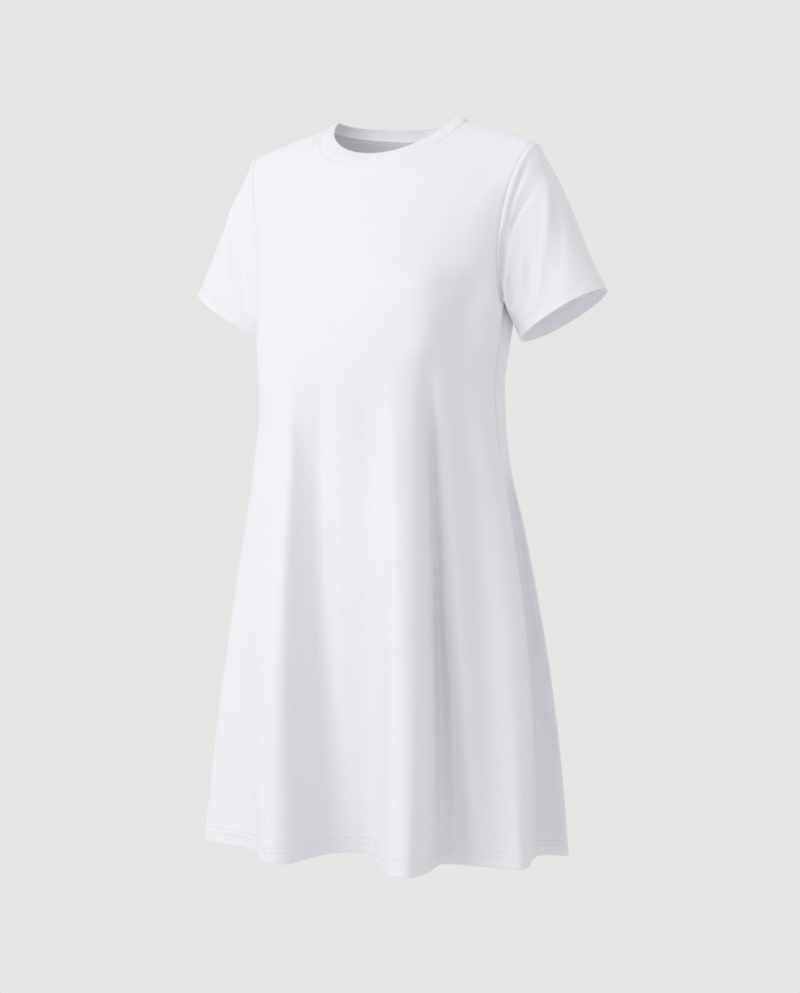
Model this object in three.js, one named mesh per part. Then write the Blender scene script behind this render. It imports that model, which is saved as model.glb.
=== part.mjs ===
// T-shirt dress, worn and hollow, in millimetres. +Z is up, the front faces -Y, the wearer's
// left is +X, and the origin is the middle of the neck at the high point of the shoulders.
// Each sewn piece is one closed wall: an outer surface from formulas and short tables, and
// an inner surface set back from it by the cloth's thickness.
import * as THREE from "three";

// Named sizes
const HEM_Z = -905;            // bottom edge of the skirt
const UNDERARM_Z = -232;       // lowest point of the armhole seam
const TIP_X = 196;             // shoulder tip, where the armhole seam meets the shoulder seam
const TIP_Y = 0;
const TIP_Z = -37.5;
const NECK_HALF = 99;          // neckline seam, half width at the shoulder seam
const NECK_TOP_Z = -6;
const NECK_FRONT_Z = -60;      // neckline seam, lowest point in front
const NECK_BACK_Z = -22;       // and at the back
const NECK_Y = 14;
const CAP_H = 78;              // height over which the panels turn in to the shoulder seam
const CAP_POWER = 1.6;
const ARM_X = 167;             // armhole seam at the underarm
const ARM_FRONT = 35;          // reach of the armhole seam in front of and behind its middle
const ARM_BACK = 52;
const CLOTH = 1.3;             // single jersey as built
const HEM_WALL = 2.2;          // turned-up hems
const BAND_WALL = 2.2;         // doubled neckband
const HEM_H = 18;              // depth of the turned-up hem
const CUFF_H = 15;             // depth of the sleeve hem
const GAP = 0.18;              // each sewn edge is set back this far from its seam line
const LIFT = 0.2;              // sleeves and neckband stand this proud of the body at their seam

// Sections of the body, top to hem: half width, centre, reach in front and behind, squareness
const TORSO = [
  // z, half, centre, front, back, square
  [30, 240, 10, 46, 56, 2.1],
  [-20, 225, 6, 54, 70, 2.1],
  [-60, 208, 4, 64, 86, 2.15],
  [-95, 195, 1, 82, 97, 2.2],
  [-133, 184, -3, 100, 104, 2.25],
  [-175, 175, -8, 110, 108, 2.3],
  [-205, 169, -12, 113.5, 110, 2.3],
  [-232, 167, -16, 115.5, 111, 2.3],
  [-270, 164.5, -21, 116.5, 112, 2.25],
  [-320, 161, -24, 116.5, 112, 2.2],
  [-370, 162, -24, 115.5, 113, 2.15],
  [-430, 170, -24, 118, 118, 2.1],
  [-500, 183, -24, 124, 127, 2.05],
  [-600, 201, -24, 134, 140, 2.0],
  [-725, 221, -23, 143, 152, 2.0],
  [-850, 238, -22, 152, 163, 2.0],
  [-905, 245, -22, 156, 167, 2.0],
];

// Crests and hollows of the skirt, once round from the wearer's right front: the column they
// run down (degrees from the centre front), where they pass mid skirt and where they meet the
// hem, how far the hem rises there, and the height they start at
const MID_Z = -585;
const FOLDS = [
  // name, column, mid x, mid y, x, y, rise, start
  ["right_dip", -60, -158, -89, -150, -90, 0, -420],
  ["ridge_a_edge", -38, -99, -136, -99, -147, 0, -262],
  ["ridge_a", -29, -75, -150, -75, -160, 0, -255],
  ["ridge_a_round", -22, -61, -146, -57, -146, 0, -262],
  ["ridge_a_flank", -16, -52, -125, -50, -118, 2, -255],
  ["valley_a_side", -8, -37, -105, -38, -82, 4, -262],
  ["valley_a", 1, -8, -115, -12, -66, 5, -275],
  ["valley_a_end", 10, 33, -112, 16, -68, 5, -275],
  ["ridge_b_flank", 18, 61, -127, 46, -108, 1, -270],
  ["ridge_b", 26, 89, -148, 88, -155, 0, -240],
  ["ridge_b_round", 32, 107, -140, 114, -156, 0, -240],
  ["ridge_b_edge", 38, 114, -119, 117, -120, 0, -240],
  ["valley_c", 45, 102, -68, 104, -60, 0, -250],
  ["valley_c_side", 50, 116, -73, 120, -51, 0, -270],
  ["swell_c", 57, 132, -69, 142, -51, 0, -290],
  ["panel_c", 66, 142, -37, 166, -46, 0, -300],
  ["ridge_c", 76, 167, -24, 203, -42, 0, -330],
  ["ridge_c_edge", 82, 175, -8, 202, -20, 0, -330],
  ["valley_d_front", 87, 170, 18, 184, 24, 0, -330],
  ["side_left", 91, 167, 33, 181, 48, 0, -330],
  ["ridge_d", 104, 181, 43, 211, 68, 0, -380],
  ["valley_d", 124, 140, 54, 146, 74, 0, -350],
  ["ridge_e", 143, 113, 100, 134, 142, 0, -320],
  ["valley_e", 164, 45, 89, 44, 92, 3, -340],
  ["ridge_f", 188, -23, 119, -24, 158, 0, -330],
  ["valley_f", 208, -81, 87, -84, 96, 2, -380],
  ["ridge_g", 228, -137, 89, -158, 136, 0, -340],
  ["valley_g", 246, -162, 40, -172, 66, 0, -400],
  ["ridge_h", 260, -190, 12, -226, 40, 0, -400],
  ["side_right", 275, -191, -27, -222, -8, 0, -420],
  ["ridge_j", 285, -195, -56, -247, -52, 0, -420],
];

// Sleeves: side, cuff centre, half of the cuff's long axis, half of its depth, cap fullness
const SLEEVES = [
  // name, side, centre, half axis, half depth, puff
  ["sleeve_left", 1, [226, 22, -244], [53, 2, 31], 42, 0.16],
  ["sleeve_right", -1, [231, 4, -240], [58, 2, 33], 36, 0.14],
];

// Soft folds of both sleeves: where they run from the armhole to the cuff (degrees from the
// underarm through the front), their height, half width, and the stretch of sleeve they cover
const SLEEVE_FOLDS = [
  // name, at armhole, at cuff, out, half width, from, to
  ["main_ridge", 150, 116, 3.0, 24, 0.1, 1.15],
  ["front_hollow", 104, 86, -9.0, 34, -0.1, 1.0],
  ["top_hollow", 176, 178, -4.0, 26, 0.05, 0.8],
  ["armpit_hollow", 64, 60, -4.2, 22, -0.05, 0.8],
  ["back_hollow", 252, 262, -3.5, 26, 0.1, 1.1],
  ["back_ridge", 292, 300, 3.0, 24, 0.0, 0.9],
];

// Vectors as [x, y, z]
const add = (a, b) => [a[0] + b[0], a[1] + b[1], a[2] + b[2]];
const sub = (a, b) => [a[0] - b[0], a[1] - b[1], a[2] - b[2]];
const mul = (a, k) => [a[0] * k, a[1] * k, a[2] * k];
const cross = (a, b) => [
  a[1] * b[2] - a[2] * b[1],
  a[2] * b[0] - a[0] * b[2],
  a[0] * b[1] - a[1] * b[0],
];
const size = (a) => Math.hypot(a[0], a[1], a[2]);
const unit = (a) => mul(a, 1 / Math.max(size(a), 1e-9));
const clamp = (v, lo, hi) => Math.min(Math.max(v, lo), hi);
const smooth = (t) => {
  const k = clamp(t, 0, 1);
  return k * k * (3 - 2 * k);
};
const rad = (deg) => (deg * Math.PI) / 180;

// A cubic between two values with their slopes over the width h
function cubic(t, v1, m1, v2, m2, h) {
  const a = 2 * t ** 3 - 3 * t ** 2 + 1;
  const b = (t ** 3 - 2 * t ** 2 + t) * h;
  const c = -2 * t ** 3 + 3 * t ** 2;
  const d = (t ** 3 - t ** 2) * h;
  return a * v1 + b * m1 + c * v2 + d * m2;
}

// The section table read smoothly at any height
function torso(z) {
  const rows = TORSO;
  const last = rows.length - 1;
  const zz = clamp(z, rows[last][0], rows[0][0]);
  let i = 0;
  while (i < last - 1 && rows[i + 1][0] > zz) i++;
  const slope = (k, c) => {
    if (k === 0) return (rows[1][c] - rows[0][c]) / (rows[1][0] - rows[0][0]);
    if (k === last) return (rows[k][c] - rows[k - 1][c]) / (rows[k][0] - rows[k - 1][0]);
    const h0 = rows[k][0] - rows[k - 1][0];
    const h1 = rows[k + 1][0] - rows[k][0];
    const d0 = (rows[k][c] - rows[k - 1][c]) / h0;
    const d1 = (rows[k + 1][c] - rows[k][c]) / h1;
    return (d0 * h1 + d1 * h0) / (h0 + h1);
  };
  const h = rows[i + 1][0] - rows[i][0];
  const t = (zz - rows[i][0]) / h;
  const read = (c) => cubic(t, rows[i][c], slope(i, c), rows[i + 1][c], slope(i + 1, c), h);
  return { half: read(1), centre: read(2), front: read(3), back: read(4), square: read(5) };
}

// Extra forward reach of the upper front
function bust(x, z) {
  let out = 0;
  for (const side of [-1, 1]) {
    out += 7 * Math.exp(-(((x - side * 82) / 46) ** 2) - ((z + 226) / 62) ** 2);
  }
  return out;
}

function shoulderZ(x) {
  const k = (Math.abs(x) - NECK_HALF) / (TIP_X - NECK_HALF);
  return NECK_TOP_Z + (TIP_Z - NECK_TOP_Z) * k + 1.5 * Math.sin(clamp(k, 0, 1) * Math.PI);
}

function shoulderY(x) {
  const k = clamp((Math.abs(x) - NECK_HALF) / (TIP_X - NECK_HALF), 0, 1);
  return NECK_Y + (TIP_Y - NECK_Y) * k;
}

// Depth of the front (side -1) or back (side 1) above the underarm
function depth(x, z, side, wider = 0) {
  const s = torso(z);
  const reach = side < 0 ? s.front : s.back;
  const k = clamp(Math.abs(x) / (s.half + wider), 0, 1);
  let y = s.centre + side * reach * (1 - k ** s.square) ** (1 / s.square);
  if (side < 0) y -= bust(x, z);
  const tau = clamp((shoulderZ(x) - z) / CAP_H, 0, 1);
  const cap = (1 - (1 - tau) ** CAP_POWER) ** (1 / CAP_POWER);
  const top = shoulderY(x);
  return top + (y - top) * cap;
}

// Armhole seam on the wearer's left: 0 underarm, 90 front, 180 shoulder tip, 270 back
function armhole(theta) {
  const th = rad(theta);
  const half = (TIP_Z - UNDERARM_Z) / 2;
  const z = (UNDERARM_Z + TIP_Z) / 2 - half * Math.cos(th);
  const t = (z - UNDERARM_Z) / (2 * half);
  const x = ARM_X + (TIP_X - ARM_X) * Math.max(t, 0) ** 2.2;
  const line = (torso(UNDERARM_Z).centre * (1 + Math.cos(th))) / 2;
  const s = Math.sin(th);
  return [x, line - (s > 0 ? ARM_FRONT : ARM_BACK) * s, z];
}

// Armhole angle at a share of its length from the underarm to the tip
const ARM_STEPS = 180;
const armLength = [0];
for (let i = 1; i <= ARM_STEPS; i++) {
  armLength.push(armLength[i - 1] + size(sub(armhole(i), armhole(i - 1))));
}
function armAngle(w) {
  const want = clamp(w, 0, 1) * armLength[ARM_STEPS];
  let i = 0;
  while (i < ARM_STEPS - 1 && armLength[i + 1] < want) i++;
  return i + (want - armLength[i]) / (armLength[i + 1] - armLength[i]);
}

// How much wider a section must be to pass through a point of the armhole
function spare(edge, side) {
  const s = torso(edge[2]);
  const k = clamp(Math.abs(edge[1] - s.centre) / (side < 0 ? s.front : s.back), 0, 0.9);
  return edge[0] / (1 - k ** s.square) ** (1 / s.square) - s.half;
}

// Where the cloth hangs flat from the left bust back to the side seam, 0 to 1
function sideFlat(phi, z) {
  const turn = ((((phi + 180) % 360) + 360) % 360) - 180;
  const reach = smooth((turn - 32) / 44) * (1 - smooth((turn - 104) / 50));
  return reach * smooth((UNDERARM_Z - z) / 100) * (1 - 0.75 * smooth((-430 - z) / 260));
}

// Smooth skirt before its folds; 0 is the centre front, 90 the wearer's left side
function base(phi, z) {
  const s = torso(z);
  const p = rad(phi);
  const sn = Math.sin(p);
  const cs = Math.cos(p);
  const reach = cs > 0 ? s.front : s.back;
  const x = s.half * Math.sign(sn) * Math.abs(sn) ** (2 / s.square);
  let y = s.centre - reach * Math.sign(cs) * Math.abs(cs) ** (2 / s.square);
  if (cs > 0) y -= bust(x, z);
  const flat = sideFlat(phi, z);
  return [x - 14 * flat, y + 21 * flat, z];
}

const foldMid = FOLDS.map((f) => {
  const p = base(f[1], MID_Z);
  return [f[2] - p[0], f[3] - p[1], 0];
});
const foldHem = FOLDS.map((f) => {
  const p = base(f[1], HEM_Z);
  return [f[4] - p[0], f[5] - p[1], f[6]];
});

// Point of the skirt with its folds
function skirt(phi, z) {
  const n = FOLDS.length;
  const first = FOLDS[0][1];
  const q = ((((phi - first) % 360) + 360) % 360) + first;
  const col = (k) => FOLDS[((k % n) + n) % n][1] + 360 * Math.floor(k / n);
  const move = (k) => {
    const j = ((k % n) + n) % n;
    const start = FOLDS[j][7];
    const share = clamp((start - z) / (start - HEM_Z), 0, 1);
    const middle = (start - MID_Z) / (start - HEM_Z);
    const ease = smooth(share * 4);
    const byMid = (ease * share * (1 - share)) / (middle * (1 - middle));
    const byHem = (ease * share * (share - middle)) / (1 - middle);
    return add(mul(foldMid[j], byMid), mul(foldHem[j], byHem));
  };
  let i = 0;
  while (i < n - 1 && col(i + 1) <= q) i++;
  const v = [move(i - 1), move(i), move(i + 1), move(i + 2)];
  const x = [col(i - 1), col(i), col(i + 1), col(i + 2)];
  const slope = (a, c) => {
    const h0 = x[a + 1] - x[a];
    const h1 = x[a + 2] - x[a + 1];
    return (((v[a + 1][c] - v[a][c]) / h0) * h1 + ((v[a + 2][c] - v[a + 1][c]) / h1) * h0) / (h0 + h1);
  };
  const h = x[2] - x[1];
  const t = (q - x[1]) / h;
  const off = [0, 1, 2].map((c) => cubic(t, v[1][c], slope(0, c), v[2][c], slope(1, c), h));
  return add(base(phi, z), off);
}

// Point of a panel above the underarm: column angle -90 to 90, share w up to the top edge
function upper(phi, w, side) {
  const p = rad(phi);
  const s = Math.sign(p) * Math.abs(Math.sin(p)) ** (2 / 2.3);
  const angle = armAngle(w);
  const edge = armhole(side < 0 ? angle : 360 - angle);
  const x = s * edge[0];
  const xt = s * TIP_X;
  const drop = side < 0 ? NECK_FRONT_Z : NECK_BACK_Z;
  const k = clamp(Math.abs(xt) / NECK_HALF, 0, 1);
  const inside = Math.abs(xt) < NECK_HALF - 1e-6;
  const top = inside ? NECK_TOP_Z + (drop - NECK_TOP_Z) * Math.sqrt(1 - k * k) : shoulderZ(xt);
  const flat = UNDERARM_Z + (top - UNDERARM_Z) * w;
  const flatEdge = UNDERARM_Z + (TIP_Z - UNDERARM_Z) * w;
  const z = flat + (edge[2] - flatEdge) * Math.abs(s) ** 4;
  const wider = spare(edge, side) * (1 - smooth((w - 0.25) / 0.35));
  const fit = edge[1] - depth(edge[0], edge[2], side, wider);
  const pull = Math.abs(s) ** 8;
  return [x, depth(x, z, side, wider * pull) + fit * pull, z];
}

// Columns of a panel, as angles, and its rows
const NECK_COLS = 9;
const SIDE_COLS = 16;
const LOW_ROWS = 15;
const UP_ROWS = 14;
function columns() {
  const share = NECK_HALF / TIP_X;
  const half = [];
  for (let i = 0; i <= NECK_COLS; i++) {
    const s = share * Math.sin(rad((90 * i) / NECK_COLS));
    half.push((Math.asin(s ** (2.3 / 2)) * 180) / Math.PI);
  }
  const edge = half[NECK_COLS];
  for (let i = 1; i <= SIDE_COLS; i++) half.push(edge + ((90 - edge) * i) / SIDE_COLS);
  return [...half.slice(1).reverse().map((v) => -v), ...half];
}
function lowRows() {
  const from = HEM_Z + HEM_H + 2;
  const rows = [HEM_Z, HEM_Z + HEM_H];
  for (let i = 0; i < LOW_ROWS; i++) rows.push(from + ((UNDERARM_Z - from) * i) / LOW_ROWS);
  return rows;
}

// Share of the armhole's length at an upper row, closer together at both ends
const armShare = (i) => i / UP_ROWS - 0.09 * Math.sin((2 * Math.PI * i) / UP_ROWS);

function panelGrid(side) {
  const cols = columns();
  const grid = lowRows().map((z) => cols.map((c) => skirt(side < 0 ? c : 180 - c, z)));
  for (let i = 0; i <= UP_ROWS; i++) {
    const w = armShare(i);
    grid.push(cols.map((c) => upper(c, w, side)));
  }
  return grid;
}

// Outward directions of a grid; flip turns them for grids that run the other way
function normals(grid, flip, wrap) {
  const m = grid.length;
  const n = grid[0].length;
  return grid.map((row, i) =>
    row.map((_, j) => {
      const a = grid[Math.max(i - 1, 0)][j];
      const b = grid[Math.min(i + 1, m - 1)][j];
      const c = wrap ? grid[i][(j + n - 1) % n] : grid[i][Math.max(j - 1, 0)];
      const d = wrap ? grid[i][(j + 1) % n] : grid[i][Math.min(j + 1, n - 1)];
      return mul(unit(cross(sub(d, c), sub(b, a))), flip);
    })
  );
}

// Move the edge points of a piece back from their seam lines, square to the seam
function setBack(piece) {
  const { grid, out, edges, wrap } = piece;
  const m = grid.length;
  const n = grid[0].length;
  const moved = grid.map((row) => row.map((p) => [...p]));
  const at = (i, j) => grid[clamp(i, 0, m - 1)][wrap ? (j + n) % n : clamp(j, 0, n - 1)];
  const pull = (i, j, di, dj, k, l) => {
    const along = sub(at(i + di, j + dj), at(i - di, j - dj));
    let dir = unit(cross(out[i][j], along));
    const inward = sub(grid[k][l], grid[i][j]);
    if (dir[0] * inward[0] + dir[1] * inward[1] + dir[2] * inward[2] < 0) dir = mul(dir, -1);
    moved[i][j] = add(moved[i][j], mul(dir, GAP));
  };
  for (let i = 0; i < m; i++) {
    if (edges.sides) {
      pull(i, 0, 1, 0, i, 1);
      pull(i, n - 1, 1, 0, i, n - 2);
    }
  }
  for (let j = 0; j < n; j++) {
    if (edges.top) pull(m - 1, j, 0, 1, m - 2, j);
    if (edges.bottom) pull(0, j, 0, 1, 1, j);
  }
  return moved;
}

// One closed wall from an outer grid, its outward directions and its thickness by row
function wall(name, outer, out, thick, flip, wrap) {
  const m = outer.length;
  const n = outer[0].length;
  const points = [];
  for (let i = 0; i < m; i++) for (let j = 0; j < n; j++) points.push(outer[i][j]);
  for (let i = 0; i < m; i++) {
    for (let j = 0; j < n; j++) points.push(sub(outer[i][j], mul(out[i][j], thick(i))));
  }
  const at = (i, j, inner) => (inner ? m * n : 0) + i * n + ((j + n) % n);
  const faces = [];
  const tri = (a, b, c) => (flip > 0 ? faces.push(a, b, c) : faces.push(a, c, b));
  const quad = (a, b, c, d) => {
    const ac = size(sub(points[a], points[c]));
    const bd = size(sub(points[b], points[d]));
    if (ac <= bd) {
      tri(a, b, c);
      tri(a, c, d);
    } else {
      tri(a, b, d);
      tri(b, c, d);
    }
  };
  const spans = wrap ? n : n - 1;
  for (let i = 0; i < m - 1; i++) {
    for (let j = 0; j < spans; j++) {
      const o = [at(i, j, 0), at(i, j + 1, 0), at(i + 1, j + 1, 0), at(i + 1, j, 0)];
      const k = m * n;
      const ac = size(sub(points[o[0]], points[o[2]]));
      const bd = size(sub(points[o[1]], points[o[3]]));
      if (ac <= bd) {
        tri(o[0], o[1], o[2]);
        tri(o[0], o[2], o[3]);
        tri(o[0] + k, o[2] + k, o[1] + k);
        tri(o[0] + k, o[3] + k, o[2] + k);
      } else {
        tri(o[0], o[1], o[3]);
        tri(o[1], o[2], o[3]);
        tri(o[0] + k, o[3] + k, o[1] + k);
        tri(o[1] + k, o[3] + k, o[2] + k);
      }
    }
  }
  for (let j = 0; j < spans; j++) {
    quad(at(0, j, 1), at(0, j + 1, 1), at(0, j + 1, 0), at(0, j, 0));
    quad(at(m - 1, j, 0), at(m - 1, j + 1, 0), at(m - 1, j + 1, 1), at(m - 1, j, 1));
  }
  if (!wrap) {
    for (let i = 0; i < m - 1; i++) {
      quad(at(i, 0, 1), at(i, 0, 0), at(i + 1, 0, 0), at(i + 1, 0, 1));
      quad(at(i, n - 1, 0), at(i, n - 1, 1), at(i + 1, n - 1, 1), at(i + 1, n - 1, 0));
    }
  }
  const geometry = new THREE.BufferGeometry();
  geometry.setAttribute("position", new THREE.Float32BufferAttribute(points.flat(), 3));
  geometry.setIndex(faces);
  geometry.computeVertexNormals();
  const material = new THREE.MeshStandardMaterial({ color: 0xe9e8ed, roughness: 0.85, metalness: 0 });
  const mesh = new THREE.Mesh(geometry, material);
  mesh.name = name;
  return mesh;
}

// Pieces that meet at a seam lean their edges the same way there, so the edges stay apart
function shareEdges(pieces) {
  const edge = [];
  for (const piece of pieces) {
    const m = piece.grid.length;
    const n = piece.grid[0].length;
    for (let i = 0; i < m; i++) {
      for (let j = 0; j < n; j++) {
        const side = !piece.wrap && (j === 0 || j === n - 1);
        if (i === 0 || i === m - 1 || side) edge.push({ piece, i, j, p: piece.grid[i][j] });
      }
    }
  }
  const found = edge.map((e) => {
    let body = [0, 0, 0];
    let added = [0, 0, 0];
    for (const f of edge) {
      if (size(sub(e.p, f.p)) > 0.05) continue;
      if (f.piece.edges.sides) body = add(body, f.piece.out[f.i][f.j]);
      else added = add(added, f.piece.out[f.i][f.j]);
    }
    if (size(body) > 0) body = unit(body);
    return { body, mean: unit(add(body, added)) };
  });
  edge.forEach((e, k) => {
    e.piece.out[e.i][e.j] = found[k].mean;
    if (!e.piece.edges.sides) {
      e.piece.grid[e.i][e.j] = add(e.p, mul(found[k].body, LIFT));
    }
  });
}

// Front and back
function panels() {
  const thick = (i) => (i < 2 ? HEM_WALL : CLOTH);
  return [-1, 1].map((side) => {
    const name = side < 0 ? "front" : "back";
    const grid = panelGrid(side);
    const edges = { sides: true, top: true };
    return { name, grid, out: normals(grid, -side, false), thick, flip: -side, wrap: false, edges };
  });
}

// Sleeves: 0 is the underarm, 90 the front, 180 the top
const ROUND = 2 * UP_ROWS;
const ALONG = [0, 0.06, 0.14, 0.24, 0.36, 0.48, 0.6, 0.72, 0.82];
function sleevePoint(theta, t, row) {
  const [, , centre, halfAxis, halfDepth, puff] = row;
  const th = rad(theta);
  const a = armhole(theta);
  const b = [
    centre[0] - halfAxis[0] * Math.cos(th),
    centre[1] - halfAxis[1] * Math.cos(th) - halfDepth * Math.sin(th),
    centre[2] - halfAxis[2] * Math.cos(th),
  ];
  const top = (1 - Math.cos(th)) / 2;
  const span = size(sub(b, a));
  const out = mul([1, -0.35 * Math.sin(th), 0.25], puff * top ** 1.2 + 0.1);
  const ma = mul(add(unit(sub(b, a)), out), span);
  const mb = mul([0.504, 0, -0.864], span * 0.95);
  const p = [0, 1, 2].map((c) => cubic(t, a[c], ma[c], b[c], mb[c], 1));
  return p;
}
function sleeveGrid(row) {
  const flat = [];
  const rows = [...ALONG, "hem_top", "hem", "edge"];
  for (const t of rows) {
    const ring = [];
    for (let j = 0; j < ROUND; j++) {
      const theta = j <= UP_ROWS ? armAngle(armShare(j)) : 360 - armAngle(armShare(ROUND - j));
      const length = size(sub(sleevePoint(theta, 1, row), sleevePoint(theta, 0, row)));
      let at = t;
      if (t === "hem_top") at = 1 - (CUFF_H + 2) / (0.95 * length);
      if (t === "hem") at = 1 - CUFF_H / (0.95 * length);
      if (t === "edge") at = 1;
      ring.push({ theta, t: Math.max(at, 0), p: sleevePoint(theta, Math.max(at, 0), row) });
    }
    flat.push(ring);
  }
  const plain = flat.map((ring) => ring.map((v) => v.p));
  const away = normals(plain, -1, true);
  return flat.map((ring, i) =>
    ring.map((v, j) => {
      let rise = 0;
      for (const f of SLEEVE_FOLDS) {
        const mid = f[1] + (f[2] - f[1]) * v.t;
        const turn = Math.abs(((v.theta - mid + 540) % 360) - 180) / f[4];
        const along = clamp((v.t - f[5]) / (f[6] - f[5]), 0, 1);
        const fade = Math.sin(Math.PI * along) ** 0.8 * smooth(v.t * 6);
        rise += f[3] * Math.exp(-turn * turn) * fade;
      }
      return add(v.p, mul(away[i][j], rise));
    })
  );
}
function sleeves() {
  return SLEEVES.map((row) => {
    const side = row[1];
    const grid = sleeveGrid(row).map((ring) => ring.map((p) => [p[0] * side, p[1], p[2]]));
    const thick = (i) => (i >= grid.length - 2 ? HEM_WALL : CLOTH);
    const out = normals(grid, -side, true);
    return { name: row[0], grid, out, thick, flip: -side, wrap: true, edges: { bottom: true } };
  });
}

// Neckband: from the neckline seam to the open edge, a doubled strip about 16 mm wide
const BAND_ROUND = 4 * NECK_COLS;
const BAND_EDGE = { half: 86, y: 14, front: 59, back: 50, side: 2.5, low: -45, rear: -6.5 };
function neckSeam(phi) {
  const s = (NECK_HALF / TIP_X) * Math.abs(Math.sin(rad(phi)));
  const column = (Math.asin(s ** (2.3 / 2)) * 180) / Math.PI;
  const side = Math.cos(rad(phi)) > 1e-9 ? -1 : 1;
  return upper(Math.sin(rad(phi)) < 0 ? -column : column, 1, side);
}
function bandEdge(phi) {
  const e = BAND_EDGE;
  const p = rad(phi);
  const c = Math.cos(p);
  const reach = c > 0 ? e.front : e.back;
  const low = c > 0 ? e.low : e.rear;
  const z = e.side + (low - e.side) * Math.abs(c) ** (c > 0 ? 1.15 : 1);
  return [e.half * Math.sin(p), e.y - reach * c, z];
}
function neckband() {
  const steps = [0, 0.3, 0.65, 1];
  const grid = steps.map((t) => {
    const ring = [];
    for (let j = 0; j < BAND_ROUND; j++) {
      const phi = (360 * j) / BAND_ROUND;
      const p = add(mul(neckSeam(phi), 1 - t), mul(bandEdge(phi), t));
      const away = unit([Math.sin(rad(phi)), -Math.cos(rad(phi)), 0.8]);
      ring.push(add(p, mul(away, 2.0 * Math.sin(Math.PI * t))));
    }
    return ring;
  });
  const out = normals(grid, 1, true);
  const thick = () => BAND_WALL;
  return { name: "neckband", grid, out, thick, flip: 1, wrap: true, edges: { bottom: true } };
}

const pieces = [...panels(), ...sleeves(), neckband()];
shareEdges(pieces);
const dress = new THREE.Group();
dress.name = "tshirt_dress";
for (const p of pieces) {
  dress.add(wall(p.name, setBack(p), p.out, p.thick, p.flip, p.wrap));
}
export default dress;
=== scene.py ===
# T-shirt dress: knitted cloth laid over the frame's pieces, with its folds, seams, hems and
# stitching, plus the camera, lights and floor. Metres; +Z up, the front faces -Y.
import math

import bpy
import numpy as np
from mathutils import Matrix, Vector


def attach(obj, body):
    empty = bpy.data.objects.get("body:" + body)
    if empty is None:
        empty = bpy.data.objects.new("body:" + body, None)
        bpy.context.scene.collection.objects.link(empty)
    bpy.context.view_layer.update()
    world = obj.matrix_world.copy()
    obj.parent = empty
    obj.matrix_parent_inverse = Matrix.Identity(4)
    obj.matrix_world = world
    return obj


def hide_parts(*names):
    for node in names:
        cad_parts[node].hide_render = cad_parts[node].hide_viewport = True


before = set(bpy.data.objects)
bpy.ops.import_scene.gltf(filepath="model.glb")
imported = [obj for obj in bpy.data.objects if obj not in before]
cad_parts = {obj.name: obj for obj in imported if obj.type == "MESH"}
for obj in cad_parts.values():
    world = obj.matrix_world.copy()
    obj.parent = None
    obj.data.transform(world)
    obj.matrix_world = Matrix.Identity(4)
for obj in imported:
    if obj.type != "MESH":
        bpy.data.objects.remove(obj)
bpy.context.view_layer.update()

# Named sizes, in millimetres, as in the frame's pieces
HEM_Z = -905.0
UNDERARM_Z = -232.0
TIP = (196.0, 0.0, -37.5)
NECK_HALF = 99.0
NECK_TOP_Z = -6.0
NECK_FRONT_Z = -60.0
NECK_BACK_Z = -22.0
NECK_Y = 14.0
CAP_H = 78.0
CAP_POWER = 1.6
ARM_X = 167.0
ARM_FRONT = 35.0
ARM_BACK = 52.0
COLUMN_POWER = 2.3
BUST = {"out": 7, "x": 82, "half_width": 46, "z": -226, "half_height": 62}
SIDE_FLAT_IN = 14
SIDE_FLAT_BACK = 21

# The cloth, its hems and its seam allowances
CLOTH = 0.9
DOUBLED = 0.7
ALLOWANCE = 0.8
HEM_LINE = 17.3
HEM_SECOND_LINE = 12.2
CUFF_LINE = 15.0
BAND_THICK = 2.0

# How deep the cloth dips along its seams, and how far it tucks in at the underarm and the sides
SEAM_DIP = 0.75
SIDE_SEAM_DIP = 1.7
BAND_SEAM_DIP = 0.3
PIT_DIP = 2.4
PIT_TUCK = 4.5
SIDE_TUCK = 6.2
SIDE_LAP = 2.4

# Sections of the body, top to hem
TORSO = np.array([
    # z, half width, centre, front, back, squareness
    (30, 240, 10, 46, 56, 2.1),
    (-20, 225, 6, 54, 70, 2.1),
    (-60, 208, 4, 64, 86, 2.15),
    (-95, 195, 1, 82, 97, 2.2),
    (-133, 184, -3, 100, 104, 2.25),
    (-175, 175, -8, 110, 108, 2.3),
    (-205, 169, -12, 113.5, 110, 2.3),
    (-232, 167, -16, 115.5, 111, 2.3),
    (-270, 164.5, -21, 116.5, 112, 2.25),
    (-320, 161, -24, 116.5, 112, 2.2),
    (-370, 162, -24, 115.5, 113, 2.15),
    (-430, 170, -24, 118, 118, 2.1),
    (-500, 183, -24, 124, 127, 2.05),
    (-600, 201, -24, 134, 140, 2.0),
    (-725, 221, -23, 143, 152, 2.0),
    (-850, 238, -22, 152, 163, 2.0),
    (-905, 245, -22, 156, 167, 2.0),
], float)

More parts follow.
